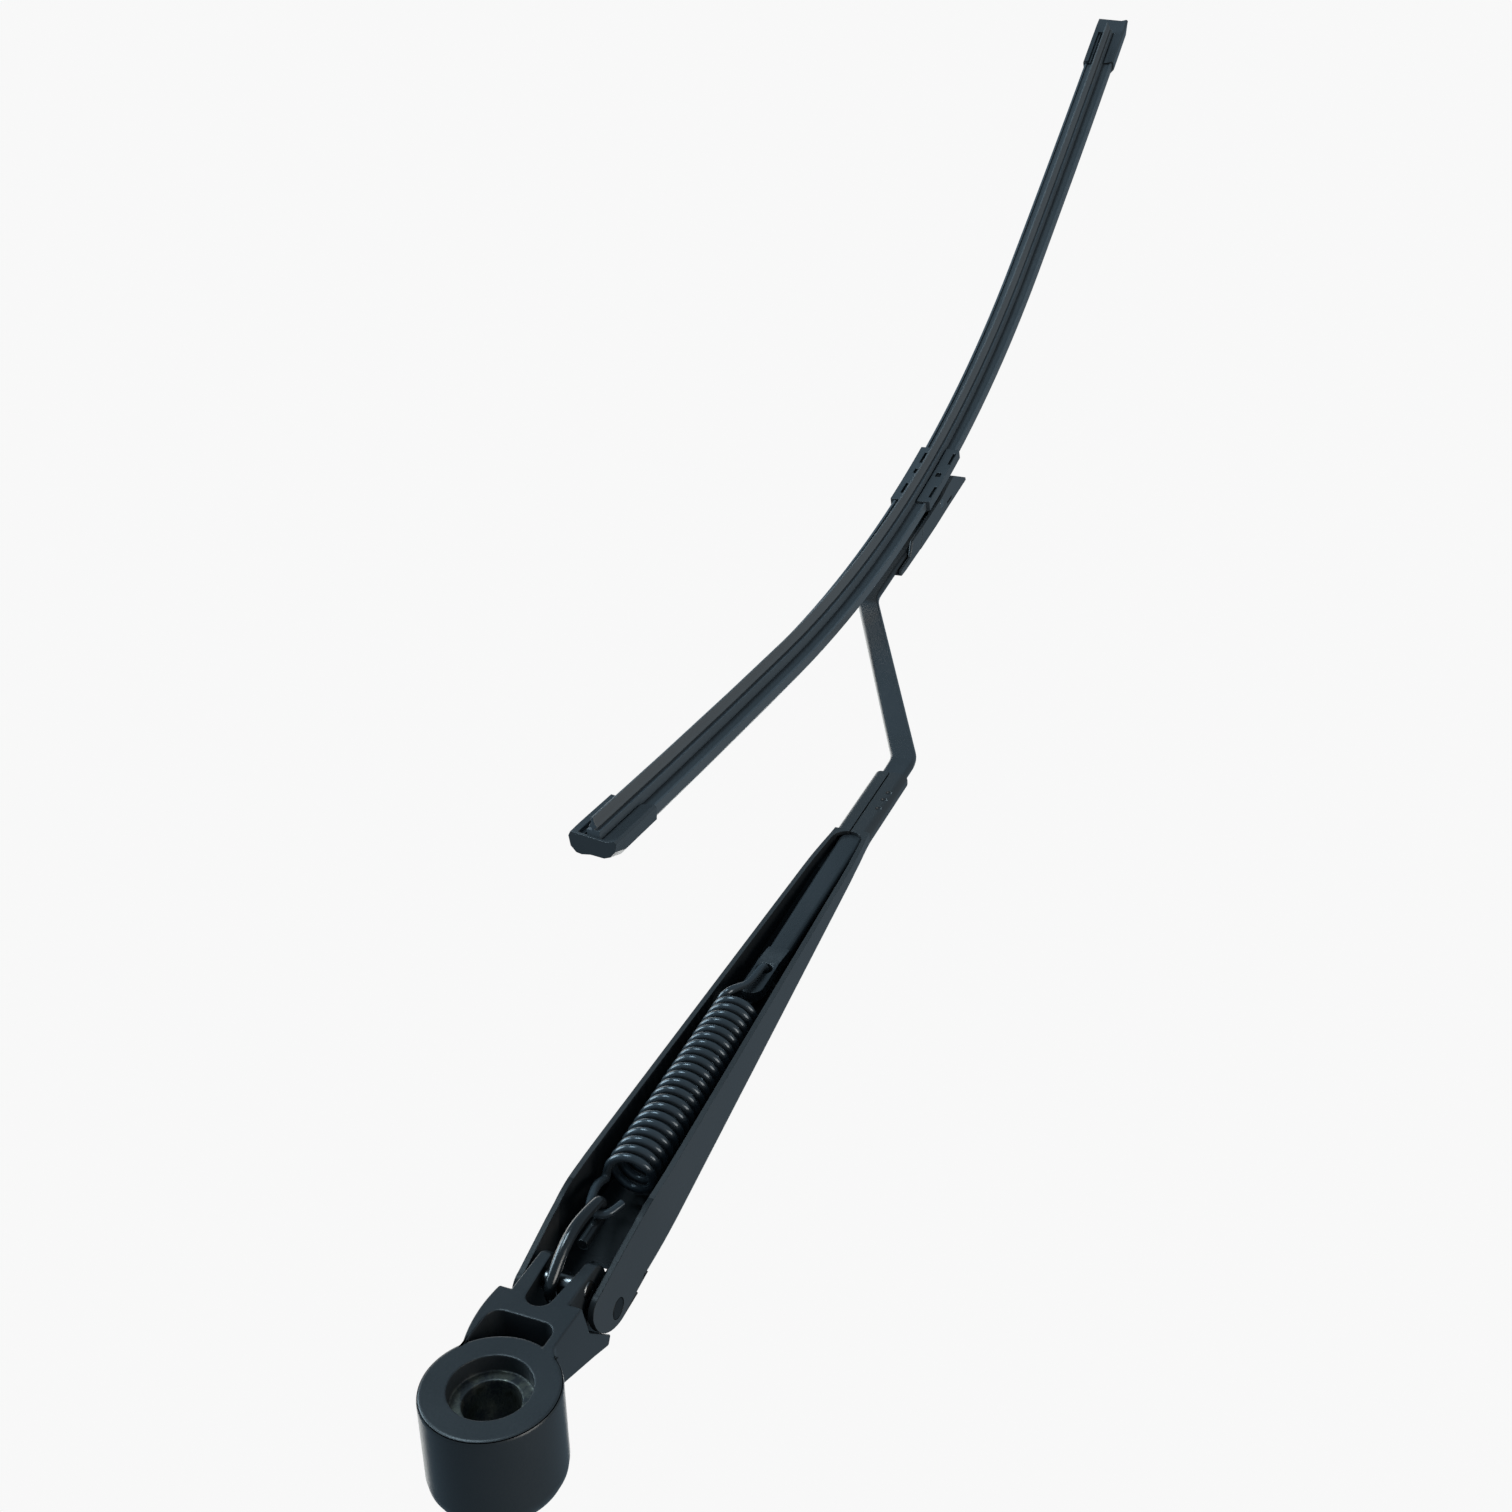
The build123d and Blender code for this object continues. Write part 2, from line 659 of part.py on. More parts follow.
# End caps: a rounded nose, a tray round the lip on the glass side, and a hollow for the covers
near_end = near_point(blade_near)
far_end = far_point(blade_far)
near_cap_loc = blade_side.location * Pos(near_end[0], near_end[1], 0)
near_cap_plane = Plane(origin=near_cap_loc.position, x_dir=blade_left, z_dir=rail_line.line % 0)
far_cap_loc = blade_side.location * Pos(far_end[0], far_end[1], 0)
far_cap_plane = Plane(origin=far_cap_loc.position, x_dir=blade_left, z_dir=(rail_line.line % 1) * -1)

cap_face = [(7.2, 1.9), (7.9, 0.5), (7.4, -2.8), (5.7, -4.7), (3.9, -5.1), (0.9, -4.7), (-3.6, -5.1),
            (-5.6, -4.4), (-7.4, -2.3), (-8.0, 0.4), (-7.2, 1.05), (tray_right, cap_floor + cap_gap)]
cap_body = [(7.4, 1.9), (7.95, 0.5), (7.95, -2.9), (7.2, -4.1), (4.2, -4.75), (2.1, -5.2), (-3.6, -6.5),
            (-6.0, -6.0), (-7.9, -3.9), (-8.1, 0.4), (-7.3, 1.05), (tray_right, cap_floor + cap_gap)]
cap_hollow = [(cap_in, cap_gap), (cap_in, -3.1), (2.0, -4.62), (-3.5, -5.93), (-5.7, -5.43), (-cap_in, -3.46),
              (-cap_in, cap_gap)]
cap_tray = [(tray_right, cap_floor), (tray_left, cap_floor), (tray_left, cap_reach), (tray_right, cap_reach)]
lip_slot = [(lip_slot_right, -lip_slot_d), (lip_slot_left, -lip_slot_d), (lip_slot_left, cap_reach),
            (lip_slot_right, cap_reach)]

caps = (("end_cap_inner", near_cap_plane, 1, cap_near_len, near_stop - stop_gap, cap_wall),
        ("end_cap_outer", far_cap_plane, -1, cap_far_len, far_stop - stop_gap, far_stop - stop_gap))
for name, plane, up, length, hollow_start, tray_start in caps:
    with BuildPart() as end_cap:
        for depth, outline in ((0, cap_face), (cap_nose, cap_body)):
            with BuildSketch(plane.offset(depth)):
                Polygon(*[(v, up * n) for v, n in outline], align=None)
        loft(ruled=True)
        with BuildSketch(plane.offset(cap_nose)):
            Polygon(*[(v, up * n) for v, n in cap_body], align=None)
        extrude(amount=length - cap_nose)
        for depth, outline in ((hollow_start, cap_hollow), (tray_start, cap_tray), (tray_start, lip_slot)):
            with BuildSketch(plane.offset(depth)):
                Polygon(*[(v, up * n) for v, n in outline], align=None)
            extrude(amount=length, mode=Mode.SUBTRACT)
    end_cap.part.label = name
    export_step(end_cap.part, f"parts/{name}.step")

# Saddle clipped round the rails, with the pivot block on the hidden side
with BuildLine(blade_side) as saddle_line:
    ThreePointArc(near_point(saddle_near), (0, 0), far_point(saddle_far))
saddle_dir = saddle_line.line % 0
saddle_section = Plane(origin=saddle_line.line @ 0, x_dir=blade_left, z_dir=saddle_dir)
saddle_top = Plane(blade_loc * Pos(0, 0, saddle_face + window_clear))

with BuildPart() as saddle:
    with BuildSketch(saddle_section):
        with BuildLine():
            Polyline((saddle_in, saddle_face), (saddle_half, saddle_face), (saddle_half, -3.6),
                     (6.5, -saddle_back), (-6.5, -saddle_back), (-saddle_half, -3.6),
                     (-saddle_half, saddle_face), (-saddle_in, saddle_face), (-saddle_in, -claw_t),
                     *rail_slot, (saddle_in, -claw_t), (saddle_in, saddle_face))
        make_face()
    sweep(path=saddle_line.line)
    with BuildSketch(blade_side):
        with BuildLine():
            Polyline((-12, -4.0), (12, -4.0), (5.0, -10.5), (riser_r, pin_h), (-riser_r, pin_h),
                     (-5.0, -10.5), (-12, -4.0))
        make_face()
        with Locations((0, pin_h)):
            Circle(riser_r)
    extrude(amount=riser_half, both=True)
    with BuildSketch(blade_side):
        with Locations((0, pin_h)):
            Circle(blade_pin_r + blade_pin_fit)
    extrude(amount=10, both=True, mode=Mode.SUBTRACT)
    # windows in the clip on the glass side
    with BuildSketch(saddle_top):
        with Locations((12.6, -7.5), (-13.6, -7.5)):
            Rectangle(8.5, 1.2)
        with Locations((12.0, 5.0), (-12.4, 5.4)):
            Rectangle(8.0, 1.1)
        with Locations((-0.2, -5.6)):
            Rectangle(3.0, 2.2)
        with Locations((1.4, 4.7)):
            Rectangle(3.4, 2.0)
    extrude(amount=-window_clear - window_d, mode=Mode.SUBTRACT)
saddle.part.label = "blade_saddle"
export_step(saddle.part, "parts/blade_saddle.step")

# Adaptor in two pieces on the end of the bar, and the pin the blade turns on
with BuildPart() as adaptor_body:
    with BuildSketch(adaptor_side):
        with BuildLine():
            Polyline((seam_low_a, adaptor_low - 0.4), (-8, adaptor_low - 0.3), (8, adaptor_low + 0.2),
                     (adaptor_far, adaptor_low + 0.6), (adaptor_far - 0.2, -4.0), (17.5, 4.5), (10, 4.1),
                     (0, 2.6), (seam_top_a, 2.2), (seam_low_a, adaptor_low - 0.4))
        make_face()
    extrude(amount=adaptor_half, both=True)
    with BuildSketch(adaptor_side):
        with BuildLine():
            Polyline((-60, low_top), (0, low_top), (28.5, low_top + 0.7), (14.0, 6.0), (-60, 6.0),
                     (-60, low_top))
        make_face()
    extrude(amount=adaptor_half - adaptor_wall, both=True, mode=Mode.SUBTRACT)
    with BuildSketch(adaptor_side):
        Circle(blade_pin_r + press_fit)
    extrude(amount=10, both=True, mode=Mode.SUBTRACT)
    with BuildSketch(adaptor_side):
        with Locations((10.0, -3.2)):
            Rectangle(6.5, 1.1)
    extrude(amount=10, mode=Mode.SUBTRACT)
adaptor_body.part.label = "adaptor_body"
export_step(adaptor_body.part, "parts/adaptor_body.step")

with BuildPart() as adaptor_sleeve:
    with BuildSketch(adaptor_side):
        with BuildLine():
            Polyline((adaptor_near, adaptor_low + 0.3), (-48, adaptor_low - 0.1),
                     (seam_low_a - seam_gap, adaptor_low - 0.4), (seam_top_a - seam_gap, 2.2), (-38.0, 2.4),
                     (-42.0, -3.2), (adaptor_near, -3.2), (adaptor_near, adaptor_low + 0.3))
        make_face()
    extrude(amount=adaptor_half, both=True)
    with BuildSketch(adaptor_side):
        with BuildLine():
            Polyline((-60, low_top), (0, low_top), (0, 6), (-60, 6), (-60, low_top))
        make_face()
    extrude(amount=adaptor_half - adaptor_wall, both=True, mode=Mode.SUBTRACT)
adaptor_sleeve.part.label = "adaptor_sleeve"
export_step(adaptor_sleeve.part, "parts/adaptor_sleeve.step")

with BuildPart() as blade_pin:
    with BuildSketch(adaptor_side):
        Circle(blade_pin_r)
    extrude(amount=adaptor_half, both=True)
blade_pin.part.label = "blade_pin"
export_step(blade_pin.part, "parts/blade_pin.step")
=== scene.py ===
# %% [markdown]
# # A wiper arm, dressed
#
# The solids of this wiper arm come from its CAD model: the head that sits on the spindle, the pressed
# channel with the spring inside, the flat bar, and the blade. This lesson gives them their looks. All
# is in metres, in the frame of the CAD model: the origin is the spindle bore, +X runs along the arm, +Y
# is to its left and +Z points out of the bore. Small sizes are written in millimetres and multiplied by
# `mm`.

# %% Load the solids
import json
from bisect import bisect
from math import cos, pi, radians, sin

import bpy
from mathutils import Matrix, Vector

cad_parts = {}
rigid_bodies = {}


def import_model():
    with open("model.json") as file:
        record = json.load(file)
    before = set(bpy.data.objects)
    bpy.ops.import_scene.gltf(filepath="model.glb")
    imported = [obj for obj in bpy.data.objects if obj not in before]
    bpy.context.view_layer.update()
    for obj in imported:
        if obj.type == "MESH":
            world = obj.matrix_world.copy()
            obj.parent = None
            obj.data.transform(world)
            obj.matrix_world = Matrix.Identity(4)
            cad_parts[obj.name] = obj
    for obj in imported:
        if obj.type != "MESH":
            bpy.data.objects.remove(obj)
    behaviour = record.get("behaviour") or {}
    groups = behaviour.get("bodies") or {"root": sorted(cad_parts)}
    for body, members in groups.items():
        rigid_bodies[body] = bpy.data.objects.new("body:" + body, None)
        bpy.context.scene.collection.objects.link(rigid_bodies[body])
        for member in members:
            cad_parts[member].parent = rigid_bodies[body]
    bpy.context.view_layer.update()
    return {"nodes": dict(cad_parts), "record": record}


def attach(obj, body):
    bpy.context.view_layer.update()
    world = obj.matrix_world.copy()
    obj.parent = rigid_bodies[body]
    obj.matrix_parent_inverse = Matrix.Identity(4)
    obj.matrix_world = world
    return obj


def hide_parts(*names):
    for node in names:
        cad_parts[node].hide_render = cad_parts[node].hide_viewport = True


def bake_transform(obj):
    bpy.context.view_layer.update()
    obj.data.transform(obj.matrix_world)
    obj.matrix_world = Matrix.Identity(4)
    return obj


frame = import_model()
bpy.ops.object.select_all(action="DESELECT")
mm = 0.001

# %% [markdown]
# ## Camera
#
# The photograph looks along the arm from behind its head, a little from the right and from above, with
# the glass side up. A camera can be aimed at an empty, but here its angles were solved, so it is placed
# by its eye, the heading and the dip of its line of sight, and a small roll. The heading is turned
# about Z, the dip about the camera's own X, and the roll about its line of sight.

# %% Place the camera
eye = Vector((-217.11, -153.12, 249.79)) * mm
heading = radians(23.23)
dip = radians(-23.93)
roll = radians(-1.28)
lens_px = 1722.7
photo_px = 1512
sensor_mm = 36

turn = Matrix.Rotation(heading - pi / 2, 4, "Z") @ Matrix.Rotation(pi / 2 + dip, 4, "X")
turn = turn @ Matrix.Rotation(roll, 4, "Z")
bpy.ops.object.camera_add(location=eye, rotation=turn.to_euler())
camera = bpy.context.object
camera.data.sensor_width = sensor_mm
camera.data.lens = sensor_mm * lens_px / photo_px
camera.data.clip_start = 10 * mm
bpy.context.scene.camera = camera
print("lens in mm:", round(camera.data.lens, 2))

# %% [markdown]
# ## Stage
#
# The arm is made to be held by its spindle, and it folds down by almost a right angle, so the floor
# lies well below it. Floor and backdrop are plain and pale, and only the camera sees them: a dark gloss
# would otherwise mirror all that white and turn grey. What the arm does mirror is a dim, cool room.

# %% Floor and backdrop
floor_z = -0.95
floor_size = 24
backdrop_r = 11
stage_middle = (0.4, 0, floor_z)
paper_white = (0.94, 0.94, 0.94, 1)

bpy.ops.mesh.primitive_plane_add(size=floor_size, location=stage_middle)
floor = bpy.context.object
floor.name = "floor"
bpy.ops.mesh.primitive_uv_sphere_add(segments=48, ring_count=24, radius=backdrop_r, location=stage_middle)
backdrop = bpy.context.object
backdrop.name = "backdrop"
paper = bpy.data.materials.new("pale_paper")
paper.use_nodes = True
paper_shader = paper.node_tree.nodes["Principled BSDF"]
paper_shader.inputs["Base Color"].default_value = (0, 0, 0, 1)
paper_shader.inputs["Specular IOR Level"].default_value = 0
paper_shader.inputs["Emission Color"].default_value = paper_white
paper_shader.inputs["Emission Strength"].default_value = 1
for sheet_of_paper in (floor, backdrop):
    sheet_of_paper.data.materials.append(paper)
    sheet_of_paper.visible_diffuse = False
    sheet_of_paper.visible_glossy = False
    sheet_of_paper.visible_shadow = False
print("floor at", floor_z)

# %% The room
room_tint = (0.58, 0.84, 1.06, 1)
room_strength = 0.26

scene = bpy.context.scene
scene.view_settings.view_transform = "Standard"
world = bpy.data.worlds.new("room")
scene.world = world
world.use_nodes = True
room = world.node_tree.nodes["Background"]
room.inputs["Color"].default_value = room_tint
room.inputs["Strength"].default_value = room_strength
print("room light:", room_strength)

# %% [markdown]
# ## Soft boxes
#
# Black paint shows its shape mostly by what it mirrors, so the lamps are soft boxes, which mirror as
# broad patches where a point lamp would give dots. The cool ones overhead and on the left draw the
# bright lines on the coils. A wide, plain one stands low beyond the arm's far end, and a plain one on
# the right lights the walls that face the camera.

# %% Four lamps
middle = Vector((0.25, 0.03, 0))
cool = (0.66, 0.87, 1.0)
plain = (1.0, 0.98, 0.93)


def soft_box(name, place, size, power, tint):
    """A square area lamp at a place, turned to face the middle of the arm."""
    face = (middle - Vector(place)).to_track_quat("-Z", "Y").to_euler()
    bpy.ops.object.light_add(type="AREA", location=place, rotation=face)
    lamp = bpy.context.object
    lamp.name = name
    lamp.data.size = size
    lamp.data.energy = power
    lamp.data.color = tint
    return lamp


lamps = [
    soft_box("overhead_box", (0.12, 0.52, 1.32), size=0.45, power=10, tint=cool),
    soft_box("left_box", (0.1, 1.5, 0.6), size=0.9, power=22, tint=cool),
    soft_box("far_box", (1.25, 1.0, -0.55), size=2.0, power=22, tint=plain),
    soft_box("right_box", (-0.2, -1.6, 0.25), size=1.0, power=18, tint=plain),
]
print("lamps in watts:", {lamp.name: lamp.data.energy for lamp in lamps})

# %% [markdown]
# ## Shader sums
#
# A finish is a sum of masks: where the coat drifts in tone, where an edge is worn, where metal shows.
# Such a sum is hard to read when it is written node by node, so a small class wraps a socket. Adding or
# multiplying two of them adds a Math node, and its `node` method adds any other node.

# %% A socket that can be written as a number
class Tap:
    """An output socket of a material's nodes."""

    def __init__(self, tree, socket=None):
        self.tree = tree
        self.socket = socket

    def node(self, kind, settings=None, inputs=None, out=0):
        """Adds a node, sets it up, fills or links its sockets, and gives back one of its outputs."""
        made = self.tree.nodes.new(kind)
        for name, value in (settings or {}).items():
            setattr(made, name, value)
        for name, value in (inputs or {}).items():
            if isinstance(value, Tap):
                self.tree.links.new(value.socket, made.inputs[name])
            else:
                made.inputs[name].default_value = value
        return Tap(self.tree, made.outputs[out])

    def maths(self, operation, first, second):
        """Adds a Math node."""
        return self.node("ShaderNodeMath", {"operation": operation}, {0: first, 1: second})

    def __add__(self, other):
        return self.maths("ADD", self, other)

    def __radd__(self, other):
        return self.maths("ADD", other, self)

    def __sub__(self, other):
        return self.maths("SUBTRACT", self, other)

    def __rsub__(self, other):
        return self.maths("SUBTRACT", other, self)

    def __mul__(self, other):
        return self.maths("MULTIPLY", self, other)

    def __rmul__(self, other):
        return self.maths("MULTIPLY", other, self)

    def ramp(self, low, high):
        """0 below low, 1 above high, and a straight line between."""
        return self.node("ShaderNodeMapRange", None, {0: self, 1: low, 2: high, 3: 0.0, 4: 1.0})


# %% [markdown]
# ## One recipe for every finish
#
# All the pieces are dark, but no two are alike: a coated casting, coated sheet, oiled spring wire,
# moulded plastic, rubber. Each could have its own nodes, but they differ mostly in their numbers, so
# they share one recipe. The tone drifts a little over the surface, the gloss has fine spots, a bump
# gives the grain, and edges are a touch lighter where the coat is thin or polished. The edge mask
# compares the surface's own direction with the direction that a Bevel node gives it near an edge.

# %% Parts of the recipe
mix_first, mix_second, mix_result = 6, 7, 2
bare_metal = (0.17, 0.17, 0.14, 1)


def grey(value, blue=0.2):
    """A linear grey with a cool cast."""
    return (value * (1 - blue * 0.6), value, value * (1 + blue * 0.5), 1)


def mixed(factor, first, second):
    """A colour between two others."""
    sockets = {"Factor": factor, mix_first: first, mix_second: second}
    return factor.node("ShaderNodeMix", {"data_type": "RGBA"}, sockets, out=mix_result)


def clouds(spot, scale, detail):
    """A cloudy pattern from 0 to 1. The scale is in clouds per metre."""
    return spot.node("ShaderNodeTexNoise", None, {"Vector": spot, "Scale": scale, "Detail": detail})


def edge_mask(soft):
    """1 where the softened direction leaves the surface's own, 0 on flats."""
    flat = soft.node("ShaderNodeNewGeometry", out="Normal")
    dot = {"operation": "DOT_PRODUCT"}
    along = soft.node("ShaderNodeVectorMath", dot, {0: soft, 1: flat}, out="Value")
    return (1 - along).ramp(0.02, 0.3)


print("a cool grey:", [round(v, 3) for v in grey(0.05)])

# %% [markdown]
# The recipe's own numbers are the shares of the two patterns. The wide one, `drift`, sways the tone,
# and the fine one does most for the gloss. A half is taken off both, so that they sway a finish up and
# down alike.

# %% The recipe
drift_scale = 45.0
drift_tone, fine_tone, even_wear = 0.35, 0.15, 0.12
drift_gloss, fine_gloss = 0.1, 0.16
grain_height = 0.1 * mm
paints = {}


def finish(name, tone, light, rough, grain, depth, edge=0.4, edge_size=0.35, metallic=0.0, gloss=0.5,
           bare=None):
    """Makes a dark finish and keeps it in paints.

    tone and light colour the flats and the worn edges, grain and edge_size are in mm, and depth and edge
    are the strengths of the bump and of the edge mask. bare gives a mask of bare metal.
    """
    made = bpy.data.materials.new(name + "_finish")
    made.use_nodes = True
    tree = made.node_tree
    shader = tree.nodes["Principled BSDF"]
    start = Tap(tree)
    spot = start.node("ShaderNodeTexCoord", out="Object")
    drift = clouds(spot, drift_scale, 3.0)
    fine = clouds(spot, 1 / (grain * mm), 4.0)
    soft = start.node("ShaderNodeBevel", {"samples": 4}, {"Radius": edge_size * mm})
    rim = edge_mask(soft) * edge
    worn = rim + (drift - 0.5) * drift_tone + (fine - 0.5) * fine_tone
    colour = mixed(worn + even_wear, tone, light)
    gritty = rough + (fine - 0.5) * fine_gloss + (drift - 0.5) * drift_gloss
    lumps = {"Strength": depth, "Distance": grain_height, "Height": fine, "Normal": soft}
    bump = start.node("ShaderNodeBump", None, lumps)
    shader.inputs["Specular IOR Level"].default_value = gloss
    shader.inputs["Metallic"].default_value = metallic
    if bare:
        rubbed = bare(spot, rim, fine)
        colour = mixed(rubbed, colour, bare_metal)
        tree.links.new(rubbed.socket, shader.inputs["Metallic"])
    tree.links.new(colour.socket, shader.inputs["Base Color"])
    tree.links.new(gritty.socket, shader.inputs["Roughness"])
    tree.links.new(bump.socket, shader.inputs["Normal"])
    paints[name] = made


# %% [markdown]
# ## Where bare metal shows
#
# The spindle has rubbed the coat off the bore's wall and its ledge in patches, and the sheet has lost
# small chips along its edges. Both are masks: the first from the distance to the bore's axis and the
# depth, the second from the edge mask. A painted texture would do as well, but a mask needs no
# unwrapping.

# %% Masks of bare metal
worn_radius = 8.62
worn_below = 3.0


def in_bore(spot, rim, fine):
    """Patches on the wall and the ledge of the spindle bore."""
    place = spot.node("ShaderNodeSeparateXYZ", None, {0: spot})
    x, y, z = (Tap(spot.tree, part) for part in place.socket.node.outputs)
    patches = clouds(spot, 260.0, 5.0)
    reach = (x * x + y * y) * (1 / mm ** 2)
    near_axis = (worn_radius ** 2 - reach).ramp(0, 4)
    deep = (-worn_below * mm - z).ramp(0, 0.8 * mm)
    return near_axis * deep * (patches + fine * 0.3).ramp(0.55, 0.8)


def chips(spot, rim, fine):
    """Small chips along the edges."""
    patches = clouds(spot, 420.0, 2.0)
    return rim.ramp(0.02, 0.1) * patches.ramp(0.66, 0.7)


print("the bore is worn within", worn_radius, "mm of its axis, more than", worn_below, "mm deep")

# %% [markdown]
# ## Coated metal
#
# The head is a coated casting, the channel is coated sheet, and the bar is a little smoother than both.
# The inside of the trough and the fork's slot get painted shade, darker coats with little shine. The pins
# are dark or bare steel. The link and the spring are drawn wire: smooth, with no edges to wear.

# %% Finishes of the metal pieces
finish("black_casting", tone=grey(0.019), light=grey(0.05), rough=0.34, grain=0.5, depth=0.2, gloss=0.4,
       bare=in_bore)
finish("black_sheet", tone=grey(0.024, 0.05), light=grey(0.06, 0.05), rough=0.34, grain=0.6, depth=0.12,
       edge=0.2, edge_size=0.15, bare=chips)
# Painted shade: a darker coat for the inside of the trough, the rims of the ears and the saddle's
# windows.
finish("trough_coat", tone=grey(0.015), light=grey(0.03), rough=0.38, grain=0.6, depth=0.1, edge=0.1,
       gloss=0.15)
# Painted shade: a near-black coat with hardly any shine for the inside of the fork's slot.
finish("slot_grease", tone=grey(0.01), light=grey(0.02), rough=0.5, grain=0.5, depth=0.1, edge=0.0,
       gloss=0.02)
finish("black_bar", tone=grey(0.024), light=grey(0.06), rough=0.3, grain=0.7, depth=0.12)
finish("dark_pin", tone=grey(0.006), light=grey(0.02), rough=0.45, grain=0.4, depth=0.2, gloss=0.15)
finish("bare_steel", tone=grey(0.16, 0.0), light=grey(0.55, 0.0), rough=0.3, grain=0.5, depth=0.2,
       metallic=1.0)
finish("black_wire", tone=grey(0.012), light=grey(0.04), rough=0.16, grain=0.4, depth=0.06, edge=0.0)
finish("spring_wire", tone=grey(0.05, 0.3), light=grey(0.11, 0.3), rough=0.22, grain=0.5, depth=0.06,
       edge=0.0, metallic=0.35)
print("metal finishes:", list(paints))

# %% [markdown]
# ## Plastic and rubber
#
# The fitting, the saddle, the spoilers and the caps are moulded, with a fine grain, and the rails
# inside the blade are dark spring steel. The rubber is a plain grey on its lip, and its base gets a
# cooler, slightly darker grey that paints the spoilers' shade on it. None of them shows bare metal, so
# the recipe is used without a mask.

# %% Finishes of the blade and its fitting
finish("adaptor_plastic", tone=grey(0.042), light=grey(0.09), rough=0.42, grain=0.5, depth=0.3)
finish("saddle_plastic", tone=grey(0.045), light=grey(0.10), rough=0.38, grain=0.5, depth=0.25)
finish("rail_steel", tone=grey(0.055, 0.2), light=grey(0.075, 0.2), rough=0.38, grain=0.4, depth=0.1)
finish("blade_rubber", tone=grey(0.075, 0.06), light=grey(0.12, 0.06), rough=0.36, grain=0.4, depth=0.12)
# Painted shade: a cooler, slightly darker grey for the rubber's base, where the spoilers shade it.
finish("rubber_base", tone=grey(0.075, 0.3), light=grey(0.11, 0.3), rough=0.36, grain=0.4, depth=0.12)
finish("spoiler_skin", tone=grey(0.07, 0.2), light=grey(0.12, 0.2), rough=0.4, grain=0.5, depth=0.12)
finish("cap_plastic", tone=grey(0.04), light=grey(0.075), rough=0.3, grain=0.5, depth=0.12)
print("finishes in all:", len(paints))

# %% [markdown]
# ## The arm's own frame
#
# The arm slopes a little, so places on it are easier to write in its own frame: along the arm from the
# pivot, to its left, and out of its trough, in millimetres.

# %% Into the arm's frame and back
arm_tilt = -5.44
arm_origin = Vector((41.15, 3.57, -12.32))
arm_turn = Matrix.Rotation(radians(arm_tilt), 3, "Y")


def in_arm(s, y, n):
    """A point of the arm's own frame, in mm, as a point of the part."""
    return arm_origin + arm_turn @ Vector((s, y, n))


def along_arm(point):
    """A point of the part, in mm, in the arm's own frame."""
    return arm_turn.transposed() @ (point - arm_origin)


print("a point 100 mm along the arm:", [round(v, 1) for v in in_arm(100, 0, 0)])

# %% [markdown]
# ## Eased edges
#
# Nothing on the real arm has a knife edge: the casting has small radii, the sheet was sheared and
# coated, and the bar was rolled. The solids carry the large radii. The small ones are added here, on a
# copy of each solid that stands for it: doubles are merged, flat triangles become whole faces, and a
# Bevel modifier rounds every edge that turns by more than thirty degrees. A shader could fake this, but
# a real bevel also rounds the outline. The normals are then weighted by area, so that a large flat
# stays flat beside its rounded edge.

# %% A copy of the head with whole faces
def select_only(piece):
    """Makes a piece the one selected and active object."""
    bpy.ops.object.select_all(action="DESELECT")
    piece.select_set(True)
    bpy.context.view_layer.objects.active = piece


def whole_copy(name):
    """A copy of a solid, merged, with one face for each flat."""
    select_only(frame["nodes"][name])
    bpy.ops.object.duplicate()
    piece = bpy.context.object
    piece.name = name + "_eased"
    bpy.ops.object.parent_clear(type="CLEAR_KEEP_TRANSFORM")
    bpy.ops.mesh.customdata_custom_splitnormals_clear()
    bpy.ops.object.mode_set(mode="EDIT")
    bpy.ops.mesh.select_all(action="SELECT")
    bpy.ops.mesh.remove_doubles(threshold=0.002 * mm)
    bpy.ops.mesh.dissolve_limited(angle_limit=radians(0.3))
    bpy.ops.object.mode_set(mode="OBJECT")
    return piece


head = whole_copy("head_casting")
print("head:", len(frame["nodes"]["head_casting"].data.polygons), "triangles,",
      len(head.data.polygons), "whole faces")

# %% [markdown]
# The photograph shows the lower right edge of the neck higher than the solid has it. On the copy that
# edge is lifted, and its lowest corners are drawn back, before anything is rounded.

# %% Lift the neck's lower edge
neck_near, lift_change, neck_far = 14, 31, 38
neck_right, neck_low, corner_low = -6.5, -13, -19
near_lift, far_lift, corner_cut = 1.8, 0.7, 1.3
lifted = 0
for corner in head.data.vertices:
    x, y, z = corner.co / mm
    if neck_near < x < neck_far and abs(y - neck_right) < 0.2 and z < neck_low:
        corner.co.z += (near_lift if x < lift_change else far_lift) * mm
        corner.co.x -= (corner_cut if z < corner_low else 0) * mm
        lifted += 1
print("corners lifted on the neck:", lifted)

# %% Round the head
sharp = radians(30)
smooth = radians(40)
body_of = {}
for body, carried in frame["record"]["behaviour"]["bodies"].items():
    for node_name in carried:
        body_of[node_name] = body


def eased(piece, name, width, clamp=True):
    """Rounds every sharp edge of a copy and lets it stand for the solid."""
    select_only(piece)
    round_edge = piece.modifiers.new("round_edge", "BEVEL")
    round_edge.width = width * mm
    round_edge.segments = 2
    round_edge.limit_method = "ANGLE"
    round_edge.angle_limit = sharp
    round_edge.use_clamp_overlap = clamp
    round_edge.loop_slide = clamp
    bpy.ops.object.modifier_apply(modifier=round_edge.name)
    bpy.ops.object.shade_smooth_by_angle(angle=smooth)
    lean = piece.modifiers.new("lean", "WEIGHTED_NORMAL")
    lean.keep_sharp = True
    lean.weight = 100
    bpy.ops.object.modifier_apply(modifier=lean.name)
    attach(piece, body_of[name])
    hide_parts(name)
    return piece


shown = {"head_casting": eased(head, "head_casting", width=0.45, clamp=False)}
print("rounded head:", len(head.data.polygons), "faces")

# %% [markdown]
# The channel gets a touch of the same kind: the ends of the fold in its web are tucked in behind the
# walls. Its sheet is thin, so its rounds are smaller than the casting's.

